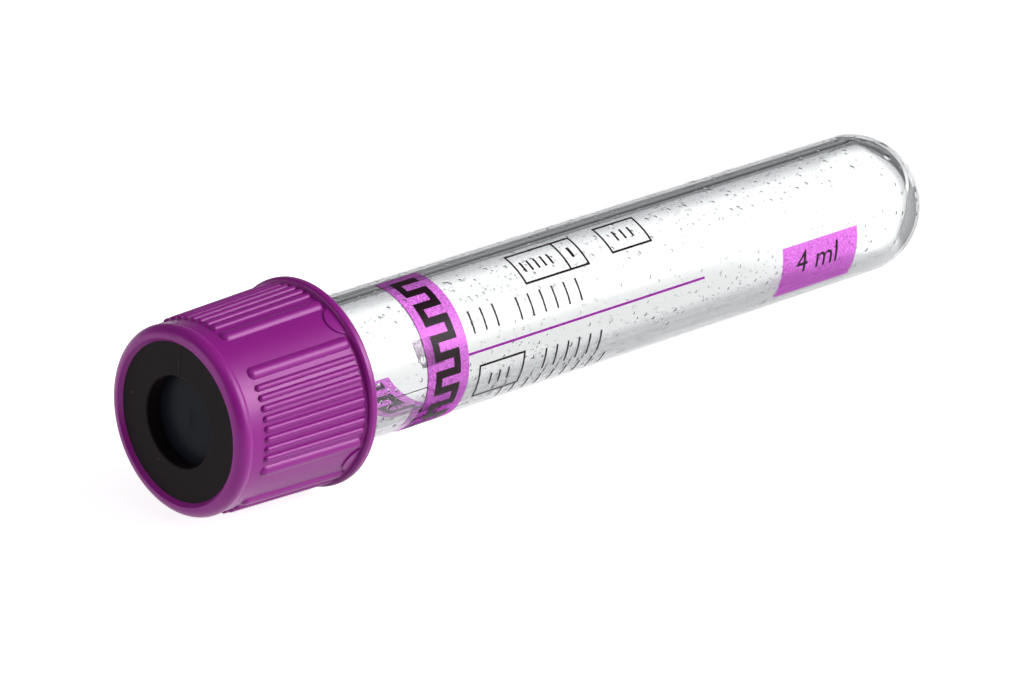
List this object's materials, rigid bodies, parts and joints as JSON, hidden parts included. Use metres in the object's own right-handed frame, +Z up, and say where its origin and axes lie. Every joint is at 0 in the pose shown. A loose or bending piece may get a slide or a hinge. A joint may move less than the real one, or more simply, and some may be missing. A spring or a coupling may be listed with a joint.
{
  "type": "evacuated blood collection tube with safety closure",
  "caption": "Clear round-bottomed plastic blood collection tube with a film label and a ribbed purple cap that holds a rubber stopper behind a black ring with a round needle port.",
  "frame": {"origin": "on the table under the middle of the lying tube", "axes": "+X along the tube towards its round end, +Z up from the table, +Y across"},
  "size_m": [0.0828, 0.0176, 0.0177],
  "materials": {
    "clear_pet": "clear, injection moulded",
    "label_film": "clear film with purple and dark print",
    "stopper_rubber": "smooth moulded",
    "black_ring": "fine matt",
    "purple_cap": "satin moulded"
  },
  "bodies": {
    "tube": {"barrel": "clear_pet", "label_film": "label_film"},
    "closure": {"cap_shell": "purple_cap", "retaining_ring": "black_ring", "stopper": "stopper_rubber"}
  },
  "joints": [
    {"name": "closure_pull", "type": "slide", "parent": "tube", "child": "closure", "axis": [-0.999, 0, 0.0449], "range_m": [0, 0.025]}
  ]
}
